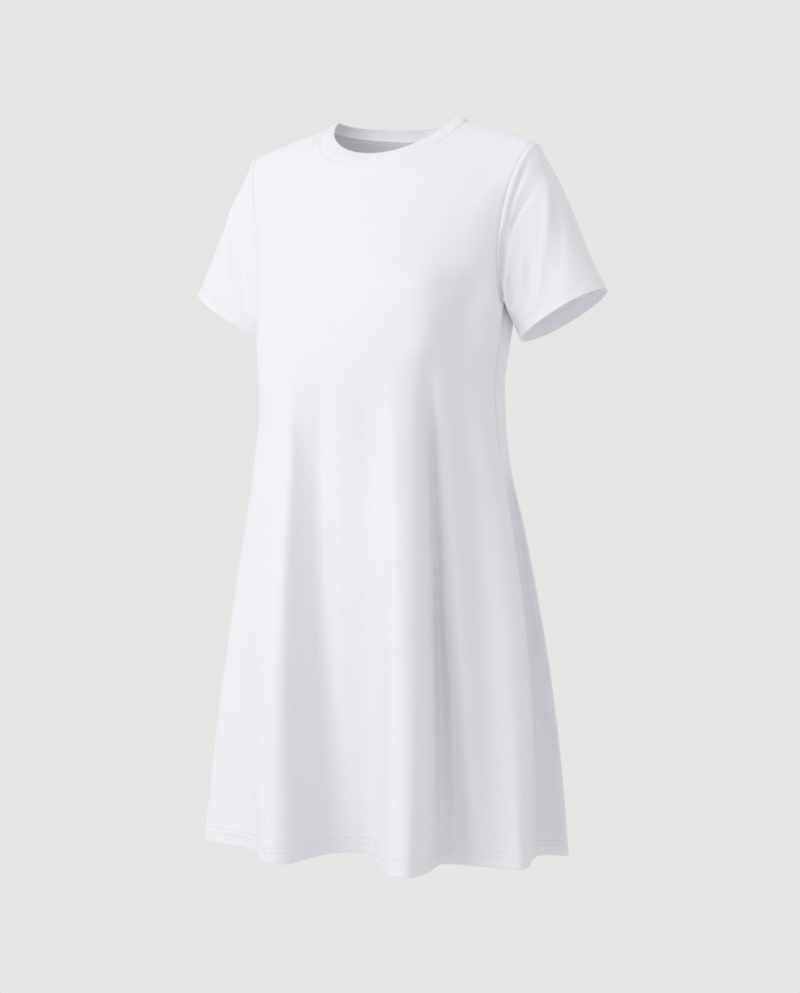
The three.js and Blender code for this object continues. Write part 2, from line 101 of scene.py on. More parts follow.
# Crests and hollows of the skirt: the column each runs down, its place at mid skirt and at
# the hem, how far the hem rises there, and the height it starts at
MID_Z = -585.0
FOLDS = [
    # name, column, mid x, mid y, x, y, rise, start
    ("right_dip", -60, -158, -89, -150, -90, 0, -420),
    ("ridge_a_edge", -38, -99, -136, -99, -147, 0, -262),
    ("ridge_a", -29, -75, -150, -75, -160, 0, -255),
    ("ridge_a_round", -22, -61, -146, -57, -146, 0, -262),
    ("ridge_a_flank", -16, -52, -125, -50, -118, 2, -255),
    ("valley_a_side", -8, -37, -105, -38, -82, 4, -262),
    ("valley_a", 1, -8, -115, -12, -66, 5, -275),
    ("valley_a_end", 10, 33, -112, 16, -68, 5, -275),
    ("ridge_b_flank", 18, 61, -127, 46, -108, 1, -270),
    ("ridge_b", 26, 89, -148, 88, -155, 0, -240),
    ("ridge_b_round", 32, 107, -140, 114, -156, 0, -240),
    ("ridge_b_edge", 38, 114, -119, 117, -120, 0, -240),
    ("valley_c", 45, 102, -68, 104, -60, 0, -250),
    ("valley_c_side", 50, 116, -73, 120, -51, 0, -270),
    ("swell_c", 57, 132, -69, 142, -51, 0, -290),
    ("panel_c", 66, 142, -37, 166, -46, 0, -300),
    ("ridge_c", 76, 167, -24, 203, -42, 0, -330),
    ("ridge_c_edge", 82, 175, -8, 202, -20, 0, -330),
    ("valley_d_front", 87, 170, 18, 184, 24, 0, -330),
    ("side_left", 91, 167, 33, 181, 48, 0, -330),
    ("ridge_d", 104, 181, 43, 211, 68, 0, -380),
    ("valley_d", 124, 140, 54, 146, 74, 0, -350),
    ("ridge_e", 143, 113, 100, 134, 142, 0, -320),
    ("valley_e", 164, 45, 89, 44, 92, 3, -340),
    ("ridge_f", 188, -23, 119, -24, 158, 0, -330),
    ("valley_f", 208, -81, 87, -84, 96, 2, -380),
    ("ridge_g", 228, -137, 89, -158, 136, 0, -340),
    ("valley_g", 246, -162, 40, -172, 66, 0, -400),
    ("ridge_h", 260, -190, 12, -226, 40, 0, -400),
    ("side_right", 275, -191, -27, -222, -8, 0, -420),
    ("ridge_j", 285, -195, -56, -247, -52, 0, -420),
]

# Softer creases laid on the panels: from one column and height to another
CREASES = {
    "front": [
        # name, column, z, column, z, half width, out
        ("armpit_drag", 76, -214, 50, -262, 20, -2.6),
        ("armpit_drag_low", 80, -240, 60, -300, 13, -1.6),
        ("right_armpit_drag", -78, -216, -54, -258, 18, -1.8),
        ("side_hollow", 62, -250, 58, -420, 26, -3.0),
        ("valley_c_line", 45, -600, 45, -880, 7, -3.5),
        ("middle_swell", -1, -350, 0, -500, 12, 1.0),
        ("middle_dip", 12, -340, 13, -480, 12, -1.6),
        ("bust_left", 36, -190, 40, -300, 28, 8.0),
        ("bust_side", 66, -200, 60, -284, 26, -7.0),
        ("panel_a_dip", -47, -420, -50, -760, 12, -1.2),
        ("chest_drag", -30, -120, 10, -170, 26, -0.9),
        ("shoulder_drag", 60, -60, 48, -130, 16, -1.1),
        ("right_shoulder_drag", -62, -64, -50, -140, 18, -1.0),
    ],
    "back": [
        ("left_blade", -58, -150, -30, -235, 22, -2.2),
        ("right_blade", 60, -140, 34, -250, 20, -2.4),
        ("left_waist", -66, -300, -28, -356, 16, -1.8),
        ("right_waist", 70, -318, 36, -380, 18, -1.6),
        ("spine", 3, -180, -4, -400, 30, -2.6),
        ("seat_left", -14, -420, -18, -640, 13, 1.8),
        ("seat_right", 22, -440, 27, -700, 11, -1.7),
        ("left_fall", -50, -400, -55, -800, 12, -1.6),
        ("right_fall", 52, -430, 60, -760, 14, 1.5),
        ("neck_drag", -20, -60, 16, -92, 20, -0.8),
    ],
}

SLEEVES = {
    # side, cuff centre, half of the long axis, half depth, cap fullness
    "sleeve_left": (1, (226, 22, -244), (53, 2, 31), 42, 0.16),
    "sleeve_right": (-1, (231, 4, -240), (58, 2, 33), 36, 0.14),
}
SLEEVE_FOLDS = [
    # at armhole, at cuff, out, half width, from, to
    (150, 116, 3.0, 24, 0.10, 1.15),
    (104, 86, -9.0, 34, -0.1, 1.0),
    (176, 178, -4.0, 26, 0.05, 0.8),
    (64, 60, -4.2, 22, -0.05, 0.8),
    (252, 262, -3.5, 26, 0.1, 1.1),
    (292, 300, 3.0, 24, 0.0, 0.9),
]
SLEEVE_CREASES = [
    # angle, along, angle, along, half width, out
    (151, 0.28, 82, 0.82, 7.0, 3.0),
    (160, 0.36, 120, 0.78, 8.0, -1.8),
    (84, 0.09, 20, 0.13, 13.0, -7.0),
    (62, 0.30, 50, 0.52, 9.0, -2.6),
    (143, 0.07, 95, 0.09, 3.4, -2.0),
    (130, 0.13, 88, 0.06, 3.0, 1.0),
    (133, 0.21, 92, 0.15, 3.8, -2.2),
    (94, 0.38, 72, 0.54, 5.0, 1.3),
    (94, 0.50, 66, 0.74, 4.6, -1.6),
    (136, 0.17, 180, 0.20, 9.0, -1.8),
    (200, 0.30, 190, 0.95, 9.0, -1.0),
    (236, 0.04, 214, 0.34, 4.0, -1.2),
    (262, 0.02, 232, 0.45, 4.4, -1.1),
    (20, 0.25, 40, 0.85, 6.0, -0.9),
    (330, 0.20, 300, 0.80, 6.0, -1.0),
]


def smooth(t):
    """0 to 1 with flat ends."""
    t = np.clip(t, 0, 1)
    return t * t * (3 - 2 * t)


def cubic(t, a, ma, b, mb):
    """Hermite curve from a to b with slopes ma and mb."""
    return (
        (2 * t**3 - 3 * t**2 + 1) * a
        + (t**3 - 2 * t**2 + t) * ma
        + (-2 * t**3 + 3 * t**2) * b
        + (t**3 - t**2) * mb
    )


def torso(z):
    """The section table read smoothly: half width, centre, front, back, squareness."""
    rows = TORSO[::-1]
    xs, ys = rows[:, 0], rows[:, 1:]
    z = np.clip(np.asarray(z, float), xs[0], xs[-1])
    h = np.diff(xs)
    d = np.diff(ys, axis=0) / h[:, None]
    m = np.empty_like(ys)
    m[0], m[-1] = d[0], d[-1]
    m[1:-1] = (d[:-1] * h[1:, None] + d[1:] * h[:-1, None]) / (h[:-1] + h[1:])[:, None]
    i = np.clip(np.searchsorted(xs, z, side="right") - 1, 0, len(xs) - 2)
    step = h[i][..., None]
    t = ((z - xs[i])[..., None]) / step
    got = cubic(t, ys[i], step * m[i], ys[i + 1], step * m[i + 1])
    return [got[..., k] for k in range(5)]


def bust(x, z):
    """How far the front stands forward over the bust."""
    out = 0
    up = ((z - BUST["z"]) / BUST["half_height"]) ** 2
    for side in (-1, 1):
        out = out + BUST["out"] * np.exp(-(((x - side * BUST["x"]) / BUST["half_width"]) ** 2) - up)
    return out


def shoulder_z(x):
    """Height of the shoulder seam, which arches a little between neck and tip."""
    k = (np.abs(x) - NECK_HALF) / (TIP[0] - NECK_HALF)
    return NECK_TOP_Z + (TIP[2] - NECK_TOP_Z) * k + 1.5 * np.sin(np.clip(k, 0, 1) * np.pi)


def depth(x, z, side, wider=0):
    """Y of the front (side -1) or back (side 1) above the underarm."""
    half, centre, front, back, square = torso(z)
    reach = front if side < 0 else back
    k = np.clip(np.abs(x) / (half + wider), 0, 1)
    y = centre + side * reach * (1 - k**square) ** (1 / square)
    if side < 0:
        y = y - bust(x, z)
    tau = np.clip((shoulder_z(x) - z) / CAP_H, 0, 1)
    cap = (1 - (1 - tau) ** CAP_POWER) ** (1 / CAP_POWER)
    t = np.clip((np.abs(x) - NECK_HALF) / (TIP[0] - NECK_HALF), 0, 1)
    top = NECK_Y + (TIP[1] - NECK_Y) * t
    return top + (y - top) * cap


def spare(edge, side):
    """How much wider a section must be to pass through a point of the armhole."""
    half, centre, front, back, square = torso(edge[..., 2])
    reach = front if side < 0 else back
    k = np.clip(np.abs(edge[..., 1] - centre) / reach, 0, 0.9)
    return edge[..., 0] / (1 - k**square) ** (1 / square) - half


def armhole(theta):
    """Armhole seam, wearer's left: 0 underarm, 90 front, 180 shoulder tip, 270 back."""
    th = np.radians(theta)
    half = (TIP[2] - UNDERARM_Z) / 2
    z = (UNDERARM_Z + TIP[2]) / 2 - half * np.cos(th)
    t = np.clip((z - UNDERARM_Z) / (2 * half), 0, 1)
    x = ARM_X + (TIP[0] - ARM_X) * t**2.2
    line = torso(UNDERARM_Z)[1] * (1 + np.cos(th)) / 2
    s = np.sin(th)
    return np.stack([x, line - np.where(s > 0, ARM_FRONT, ARM_BACK) * s, z], -1)


ARM_STEPS = np.arange(181.0)
ARM_LENGTH = np.concatenate(
    [[0], np.cumsum(np.linalg.norm(np.diff(armhole(ARM_STEPS), axis=0), axis=1))]
)


def arm_angle(w):
    """Angle round the armhole at share w of the way up its seam."""
    return np.interp(np.clip(w, 0, 1) * ARM_LENGTH[-1], ARM_LENGTH, ARM_STEPS)


def side_flat(phi, z):
    """Where the cloth hangs flat from the left bust back to the side seam, 0 to 1."""
    turn = (np.asarray(phi, float) + 180) % 360 - 180
    reach = smooth((turn - 32) / 44) * (1 - smooth((turn - 104) / 50))
    return reach * smooth((UNDERARM_Z - z) / 100) * (1 - 0.75 * smooth((-430 - z) / 260))


def base(phi, z):
    """Point of the smooth body, before the folds."""
    half, centre, front, back, square = torso(z)
    p = np.radians(phi)
    s, c = np.sin(p), np.cos(p)
    reach = np.where(c > 0, front, back)
    x = half * np.sign(s) * np.abs(s) ** (2 / square)
    y = centre - reach * np.sign(c) * np.abs(c) ** (2 / square)
    y = y - np.where(c > 0, bust(x, z), 0)
    flat = side_flat(phi, z)
    return np.stack([x - SIDE_FLAT_IN * flat, y + SIDE_FLAT_BACK * flat, z + 0 * x], -1)


def skirt(phi, z):
    """Point below the underarm with its folds; 0 is the centre front."""
    phi, z = np.broadcast_arrays(np.asarray(phi, float), np.asarray(z, float))
    shape = phi.shape
    phi, z = phi.ravel(), z.ravel()
    col, mx, my, hx, hy, rise, start = np.array([f[1:] for f in FOLDS], float).T
    at_mid = base(col, np.full(len(col), MID_Z))
    at_hem = base(col, np.full(len(col), HEM_Z))
    mid = np.stack([mx - at_mid[:, 0], my - at_mid[:, 1], 0 * mx], -1)
    hem = np.stack([hx - at_hem[:, 0], hy - at_hem[:, 1], rise], -1)
    share = np.clip((start[None] - z[:, None]) / (start - HEM_Z)[None], 0, 1)
    half_way = ((start - MID_Z) / (start - HEM_Z))[None]
    ease = smooth(share * 4)
    by_mid = ease * share * (1 - share) / (half_way * (1 - half_way))
    by_hem = ease * share * (share - half_way) / (1 - half_way)
    n = len(col)
    cx = np.concatenate([[col[-1] - 360], col, [col[0] + 360, col[1] + 360]])
    idx = np.concatenate([[n - 1], np.arange(n), [0, 1]])
    q = (phi - col[0]) % 360 + col[0]
    i = np.clip(np.searchsorted(cx, q, side="right") - 1, 1, n)
    rows = np.arange(len(q))
    v = []
    for k in (i - 1, i, i + 1, i + 2):
        j = idx[k]
        v.append(mid[j] * by_mid[rows, j][:, None] + hem[j] * by_hem[rows, j][:, None])
    x = [cx[k][:, None] for k in (i - 1, i, i + 1, i + 2)]

    def slope(a):
        h0, h1 = x[a + 1] - x[a], x[a + 2] - x[a + 1]
        return ((v[a + 1] - v[a]) / h0 * h1 + (v[a + 2] - v[a + 1]) / h1 * h0) / (h0 + h1)

    h = x[2] - x[1]
    t = (q[:, None] - x[1]) / h
    off = cubic(t, v[1], h * slope(0), v[2], h * slope(1))
    return (base(phi, z) + off).reshape(shape + (3,))


def across(phi):
    """Place of a column across the panel, -1 to 1."""
    p = np.radians(phi)
    return np.sign(p) * np.abs(np.sin(p)) ** (2 / COLUMN_POWER)


def column_at(share):
    """The column, in degrees, at a share of the way across."""
    return np.degrees(np.arcsin(share ** (COLUMN_POWER / 2)))


def upper(phi, w, side, top=None):
    """Point above the underarm: column -90 to 90, share w of the way up to its top end."""
    phi, w = np.broadcast_arrays(np.asarray(phi, float), np.asarray(w, float))
    s = across(phi)
    angle = arm_angle(w)
    edge = armhole(angle if side < 0 else 360 - angle)
    x = s * edge[..., 0]
    xt = TIP[0] * (s if top is None else across(top) + 0 * w)
    drop = NECK_FRONT_Z if side < 0 else NECK_BACK_Z
    k = np.clip(np.abs(xt) / NECK_HALF, 0, 1)
    neck = NECK_TOP_Z + (drop - NECK_TOP_Z) * np.sqrt(1 - k * k)
    arch = NECK_TOP_Z + (drop - NECK_TOP_Z) * 0.3 * (1 - k * k) ** 2
    over = np.where(k < 1, arch, shoulder_z(xt))
    dip = np.where(np.abs(xt) < NECK_HALF - 1e-6, neck - over, 0)
    flat = UNDERARM_Z + (over - UNDERARM_Z) * w + dip * w**4
    flat_edge = UNDERARM_Z + (TIP[2] - UNDERARM_Z) * w
    z = flat + (edge[..., 2] - flat_edge) * np.abs(s) ** 4
    wider = spare(edge, side) * (1 - smooth((w - 0.25) / 0.35))
    fit = edge[..., 1] - depth(edge[..., 0], edge[..., 2], side, wider)
    pull = np.abs(s) ** 8
    return np.stack([x, depth(x, z, side, wider * pull) + fit * pull, z], -1)


# Grids
NECK_COLS, SIDE_COLS = ((34, 50))
LOW_ROWS, UP_ROWS = ((120, 64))
SLEEVE_ROWS = 64
NECK_SHARE = NECK_HALF / TIP[0]


def columns():
    """Columns of a panel at its top edge, where they fit the neckline, and below the underarm."""
    inner = NECK_SHARE * np.sin(np.linspace(0, np.pi / 2, NECK_COLS + 1))
    outer = np.linspace(NECK_SHARE, 1, SIDE_COLS + 1)[1:]
    half = column_at(np.concatenate([inner, outer]))
    even = np.linspace(-90, 90, 2 * (NECK_COLS + SIDE_COLS) + 1)
    return np.concatenate([-half[:0:-1], half]), even


def arm_share(n):
    """Shares of the way up the armhole, closer together at its ends."""
    t = np.linspace(0, 1, n + 1)
    return t - 0.09 * np.sin(2 * np.pi * t)


def low_rows():
    """Heights from the hem up, with rows close together round the hem's stitch line."""
    near = np.array([0, 1.2, 3, 6, 9, 12, 14, 15.4, 16.6, 17.4, 18.2, 19, 20.2, 22, 25, 29])
    rest = np.linspace(34, UNDERARM_Z - HEM_Z, LOW_ROWS + 1)[:-1]
    return HEM_Z + np.concatenate([near, rest])


def slopes(grid, wrap):
    """Changes along rows and columns at each point of a grid."""
    du = np.gradient(grid, axis=0)
    if wrap:
        dv = (np.roll(grid, -1, 1) - np.roll(grid, 1, 1)) / 2
    else:
        dv = np.gradient(grid, axis=1)
    return du, dv


def facing(grid, flip, wrap):
    """Unit direction out of the cloth at each point of a grid."""
    du, dv = slopes(grid, wrap)
    n = np.cross(dv, du) * flip
    return n / np.maximum(np.linalg.norm(n, axis=-1, keepdims=True), 1e-9)


def run(grid, axis):
    """Distance walked along one axis of a grid, in millimetres."""
    step = np.linalg.norm(np.diff(grid, axis=axis), axis=-1)
    zero = np.zeros_like(np.take(step, [0], axis=axis))
    return np.concatenate([zero, np.cumsum(step, axis=axis)], axis=axis)


def ripple(s, seed):
    """Uneven small wave along a distance in millimetres, between -1 and 1."""
    rng = np.random.default_rng(seed)
    total = 0
    for length in (9.0, 13.0, 21.0, 34.0):
        total = total + np.sin(2 * np.pi * s / length + rng.uniform(0, 6.28)) * rng.uniform(0.5, 1)
    return total / 3


def soft_noise(u, v, seed):
    """Slow uneven swells over a panel, u and v in millimetres."""
    rng = np.random.default_rng(seed)
    total = 0
    for k, length in enumerate((120, 70, 41, 26)):
        for _ in range(3):
            a = rng.uniform(0, np.pi)
            f = 2 * np.pi / (length * rng.uniform(0.8, 1.25))
            wave = np.sin(f * (u * np.cos(a) + 0.45 * v * np.sin(a)) + rng.uniform(0, 6.28))
            total = total + wave * 0.62**k
    return total / 4


def crease(a, b, a0, b0, a1, b1, width):
    """Soft bell across a line from (a0, b0) to (a1, b1), fading at its ends."""
    da, db = a1 - a0, b1 - b0
    length = np.hypot(da, db)
    along = ((a - a0) * da + (b - b0) * db) / length**2
    off = ((a - a0) * db - (b - b0) * da) / length
    fade = np.exp(-((np.clip(np.abs(along - 0.5) - 0.32, 0, None) / 0.2) ** 2))
    return np.exp(-((off / width) ** 2)) * fade


def groove(dist, width):
    """Bell of height 1 at distance 0."""
    return np.exp(-((dist / width) ** 2))


# The pieces as grids of points, hem or seam first
def panel(side):
    """Front (side -1) or back (side 1)."""
    name = "front" if side < 0 else "back"
    top, even = columns()
    z = low_rows()
    low = skirt((even if side < 0 else 180 - even)[None, :], z[:, None])
    w = arm_share(UP_ROWS)[:, None]
    phi = even + (top - even) * (0.55 * w**3 + 0.45 * w**16)
    grid = np.concatenate([low, upper(phi, w, side, top)], 0)
    phi = np.concatenate([np.broadcast_to(even, low.shape[:2]), phi], 0)
    return {"name": name, "grid": grid, "phi": phi, "low": len(z), "flip": -side, "wrap": False}


def sleeve_point(theta, t, spec):
    """Point of a left sleeve at an angle round it and share t of the way to its cuff."""
    _, centre, half_axis, half_depth, puff = spec
    th = np.radians(theta)
    a = armhole(theta)
    b = np.array(centre, float) - np.array(half_axis, float) * np.cos(th)[..., None]
    b = b - np.stack([0 * th, half_depth * np.sin(th), 0 * th], -1)
    top = (1 - np.cos(th)) / 2
    span = np.linalg.norm(b - a, axis=-1, keepdims=True)
    lean = np.stack([1 + 0 * th, -0.35 * np.sin(th), 0.25 + 0 * th], -1)
    lean = lean * (puff * top**1.2 + 0.1)[..., None]
    start = ((b - a) / span + lean) * span
    end = CUFF_AXIS * span * 0.95
    return cubic(t[..., None], a, start, b, end)


# How far each of a sleeve's last rows lies from the cuff's edge, and the axis of the cuff
CUFF_ROWS = [20, 18, 17, 16.2, 15.6, 15, 14.4, 13.6, 12, 10.4, 8, 6, 3.5, 1.6, 0.6, 0]
CUFF_AXIS = np.array([0.504, 0, -0.864])


def sleeve(name):
    """Tube from the armhole to the cuff; the right one is made on the left and mirrored."""
    spec = SLEEVES[name]
    up = arm_angle(arm_share(UP_ROWS))
    theta = np.concatenate([up, 360 - up[-2:0:-1]])
    zero = np.zeros_like(theta)
    reach = sleeve_point(theta, zero + 1, spec) - sleeve_point(theta, zero, spec)
    length = np.linalg.norm(reach, axis=-1) * 0.95
    end = 1 - 21.5 / length
    main = np.linspace(0, 1, SLEEVE_ROWS) ** 1.25
    near = 1 - np.array(CUFF_ROWS)[:, None] / length[None, :]
    t = np.concatenate([main[:, None] * end[None, :], near])
    th = np.broadcast_to(theta[None, :], t.shape)
    grid = sleeve_point(th, t, spec)
    away = facing(grid, -1, True)
    rise = np.zeros(t.shape)
    for a0, a1, out, width, start, stop in SLEEVE_FOLDS:
        turn = np.abs((th - (a0 + (a1 - a0) * t) + 540) % 360 - 180) / width
        fade = np.sin(np.pi * np.clip((t - start) / (stop - start), 0, 1)) ** 0.8
        rise += out * np.exp(-turn * turn) * fade * smooth(t * 6)
    grid = grid + away * rise[..., None]
    grid = grid * np.array([spec[0], 1, 1])
    return {"name": name, "grid": grid, "theta": th, "t": t, "flip": -spec[0], "wrap": True}


# Free edge of the neckband
BAND_EDGE = {"half": 86, "y": 14, "front": 59, "back": 50, "side": 2.5, "low": -45, "rear": -6.5}


def neckband():
    """Doubled strip from the neck seam to its free edge."""
    n = 4 * NECK_COLS
    phi = 360 * np.arange(n) / n
    p = np.radians(phi)
    s, c = np.sin(p), np.cos(p)
    col = column_at(NECK_SHARE * np.abs(s))
    col = np.where(s < 0, -col, col)
    seam = np.where((c > 1e-9)[:, None], upper(col, 1 + 0 * p, -1), upper(col, 1 + 0 * p, 1))
    e = BAND_EDGE
    low = np.where(c > 0, e["low"], e["rear"])
    z = e["side"] + (low - e["side"]) * np.abs(c) ** np.where(c > 0, 1.15, 1)
    edge = np.stack([e["half"] * s, e["y"] - np.where(c > 0, e["front"], e["back"]) * c, z], -1)
    t = np.array([0, 0.03, 0.07, 0.13, 0.22, 0.34, 0.46, 0.58, 0.7, 0.8, 0.88, 0.94, 0.98, 1])
    away = np.stack([s, -c, 0.8 + 0 * s], -1)
    away = away / np.linalg.norm(away, axis=-1, keepdims=True)
    swell = 1.4 * np.sin(np.pi * t)[:, None, None]
    grid = seam[None] * (1 - t)[:, None, None] + edge[None] * t[:, None, None] + away * swell
    return {"name": "neckband", "grid": grid, "t": t, "flip": 1, "wrap": True}


def pooled(points_of, wrapped):
    """Sum of the facings of those points whose piece is, or isn't, a tube."""
    chosen = [part["out"][i, j] for part, i, j in points_of if part["wrap"] == wrapped]
    return sum(chosen, np.zeros(3))


def share_edges(parts):
    """Pieces that meet at a seam take the same facing there, so their edges run together."""
    spots, owners = [], []
    for part in parts:
        m, n = part["grid"].shape[:2]
        part["out"] = facing(part["grid"], part["flip"], part["wrap"])
        for i in range(m):
            if i in (0, m - 1):
                cols = range(n)
            else:
                cols = () if part["wrap"] else (0, n - 1)
            for j in cols:
                spots.append(part["grid"][i, j])
                owners.append((part, i, j))
    spots = np.array(spots)
    keys = {}
    for k, p in enumerate(spots):
        keys.setdefault(tuple(np.round(p / 0.2).astype(int)), []).append(k)
    for group in keys.values():
        if len(group) < 2:
            continue
        met = [owners[k] for k in group]
        body, added = pooled(met, False), pooled(met, True)
        if np.linalg.norm(body) > 0:
            body = body / np.linalg.norm(body)
        mean = body + added
        mean = mean / max(np.linalg.norm(mean), 1e-9)
        for part, i, j in met:
            part["out"][i, j] = mean
    for part in parts:
        if part["wrap"]:
            continue
        out = part["out"]
        for rim, step in ((0, 1), (-1, -1)):
            for k in (1, 2, 3):
                near = out[:, rim] * (1 - k / 4) + out[:, rim + k * step] * k / 4
                out[:, rim + k * step] = near / np.linalg.norm(near, axis=-1, keepdims=True)


def distance(points, line):
    """Distance of each point of a grid from the nearest point of a line."""
    gap = points[:, :, None, :] - line[None, None, :, :]
    return np.sqrt((gap**2).sum(-1).min(-1))


# Millimetres of cloth that a degree of a panel or of a sleeve, and a sleeve's length, stand for
MM_PER_COLUMN = 2.7
MM_PER_DEGREE = 0.95
SLEEVE_LONG = 175


def detail_panel(part):
    """Creases, seams and hem of the front or back: how far out, and how thick."""
    grid, phi, name = part["grid"], part["phi"], part["name"]
    m, n = grid.shape[:2]
    z = grid[..., 2]
    left = run(grid, 1)
    middle = n // 2
    u = left - left[:, middle:middle + 1]
    v = run(grid, 0)
    edge = np.minimum(left, left[:, -1:] - left)
    low = part["low"]
    to_neck = np.full((m, n), 400.0)
    to_shoulder = np.full((m, n), 400.0)
    shoulder = np.abs(np.arange(n) - middle) >= NECK_COLS
    fine = grid[-1, :-1] + (grid[-1, 1:] - grid[-1, :-1]) * 0.5
    neck = np.concatenate([grid[-1, ~shoulder], fine[~shoulder[:-1]]])
    to_neck[low:] = distance(grid[low:], neck)
    to_shoulder[low:] = distance(grid[low:], grid[-1, shoulder])
    to_top = np.minimum(to_neck, to_shoulder)
    calm = smooth(edge / 22) * smooth(to_top / 18)
    rise = np.zeros((m, n))
    for _, a0, b0, a1, b1, width, out in CREASES[name]:
        a0, a1 = a0 * MM_PER_COLUMN, a1 * MM_PER_COLUMN
        rise += out * crease(phi * MM_PER_COLUMN, z, a0, b0, a1, b1, width)
    seed = 11 if name == "front" else 23
    fall = 0.35 + 0.65 * smooth((-230 - z) / 400)
    rise += 0.55 * fall * soft_noise(u, v, seed) * smooth((v - 10) / 30)
    rise *= calm
    # Hem: doubled below its stitch line, dimpled along it, a little puckered above
    pucker = ripple(u, seed + 1)
    rise += 0.45 * smooth((17.6 - v) / 1.6)
    rise -= (0.4 + 0.16 * pucker) * groove(v - HEM_LINE, 1.1)
    rise -= 0.1 * groove(v - HEM_SECOND_LINE, 0.8)
    rise += (0.3 + 0.3 * pucker) * groove(v - 21.5, 3.4)
    rise += 0.25 * pucker * groove(v - 9, 6)
    # Sewn edges: side seams and armholes at the sides, shoulder seams and neckline on top
    tug = ripple(v, 5)
    low_down = smooth((-380 - z) / 120)
    seam = SEAM_DIP + (SIDE_SEAM_DIP * low_down if name == "front" else 0)
    rise -= np.maximum(seam * groove(edge, 1.7), BAND_SEAM_DIP * groove(to_top, 1.2))
    rise += (0.3 + 0.2 * tug) * groove(edge - 5.5, 3.0) * smooth(to_top / 8)
    rise += 0.35 * groove(to_top - 4.5, 2.6) * smooth(edge / 8)
    angle = arm_angle(arm_share(UP_ROWS))[:, None] + 0 * z[low:]
    pit = 1 - smooth(np.concatenate([(UNDERARM_Z - z[:low]) / 30, (angle - 10) / 45]))
    rise -= PIT_DIP * pit * groove(edge, 6)
    if name == "back":
        # the back tucks in under the arm, and behind the front along the side seam
        under = 1 - smooth(np.concatenate([(UNDERARM_Z - z[:low]) / 75, (angle - 5) / 30]))
        side = SIDE_TUCK * low_down * groove(edge - 3.5, 8)
        rise -= PIT_TUCK * under * groove(edge - 8, 8) + side
    thick = CLOTH + DOUBLED * smooth(18.4 - v)
    thick = thick + ALLOWANCE * np.maximum(smooth((8.2 - edge) / 1.6), smooth((8.6 - to_top) / 1.2))
    if name == "front":
        thick = thick + SIDE_LAP * low_down * smooth((4 - edge) / 2)
    part.update(rise=rise, thick=thick, u=u, v=v)


def detail_sleeve(part):
    """Creases, seams and cuff of a sleeve: how far out, and how thick."""
    grid, th, t = part["grid"], part["theta"], part["t"]
    v = run(grid, 0)
    closed = np.concatenate([grid, grid[:, :1]], 1)
    u = run(closed, 1)[:, :-1]
    to_edge = v[-1:, :] - v
    rise = np.zeros(t.shape)
    for a0, b0, a1, b1, width, out in SLEEVE_CREASES:
        a0, b0, a1, b1 = a0 * MM_PER_DEGREE, b0 * SLEEVE_LONG, a1 * MM_PER_DEGREE, b1 * SLEEVE_LONG
        bell = crease(th * MM_PER_DEGREE, t * SLEEVE_LONG, a0, b0, a1, b1, width)
        rise += out * bell * smooth(v / 9) * (1 if part["name"] == "sleeve_left" else 0.6)
    seed = 31 if part["name"] == "sleeve_left" else 47
    around = np.radians(th)
    swells = np.sin(3 * around + 0.05 * v + seed) + 0.6 * np.sin(5 * around - 0.04 * v + 2 * seed)
    rise += 0.3 * swells * smooth(v / 25) * smooth((to_edge - 14) / 20)
    pucker = np.sin(around * 34 + seed) * 0.5 + np.sin(around * 21 + 2.0) * 0.5
    rise += 0.2 * smooth((15.2 - to_edge) / 3.0)
    rise -= (0.14 + 0.06 * pucker) * groove(to_edge - CUFF_LINE, 1.0)
    rise += (0.1 + 0.15 * pucker) * groove(to_edge - 18.5, 2.8)
    # The cap stands proud just past its seam, and the underarm seam runs along the sleeve
    top = (1 - np.cos(around)) / 2
    rise -= SEAM_DIP * groove(v, 1.3)
    rise += (0.4 + 1.3 * top) * groove(v - 4.4 - top, 2.8 + top)
    rise -= PIT_DIP * (1 - smooth((np.minimum(th, 360 - th) - 10) / 45)) * groove(v, 6)
    under = np.minimum(u, u.max(axis=1, keepdims=True) - u)
    rise -= 0.5 * groove(under, 1.4) * smooth(v / 4)
    thick = CLOTH + DOUBLED * smooth((15.6 - to_edge) / 0.8) + ALLOWANCE * smooth((8.4 - v) / 1.4)
    part.update(rise=rise, thick=thick, u=u, v=v)


def detail_band(part):
    """Seam of the neckband, which is one thickness throughout."""
    grid = part["grid"]
    v = run(grid, 0)
    u = run(np.concatenate([grid, grid[:, :1]], 1), 1)[:, :-1]
    rise = -BAND_SEAM_DIP * groove(v, 1.0) + 0.2 * groove(v - 3.4, 2.4)
    part.update(rise=rise, thick=0 * v + BAND_THICK, u=u, v=v)


# Rows in the half round that closes a wall's edge
RIM_ROWS = 3


def round_rim(outer, inner, onward):
    """Rows that close a wall's edge with a half round, from outer to inner."""
    mid = (outer + inner) / 2
    arm = (outer - inner) / 2
    size = np.linalg.norm(arm, axis=-1, keepdims=True)
    turns = [np.pi * k / (RIM_ROWS + 1) for k in range(1, RIM_ROWS + 1)]
    return [mid + arm * np.cos(a) + onward * size * np.sin(a) for a in turns]


def past(edge, before, is_free):
    """Unit direction out over a free edge, or nothing at a sewn one."""
    step = edge - before
    return step / np.linalg.norm(step, axis=-1, keepdims=True) * (1.0 if is_free else 0.0)


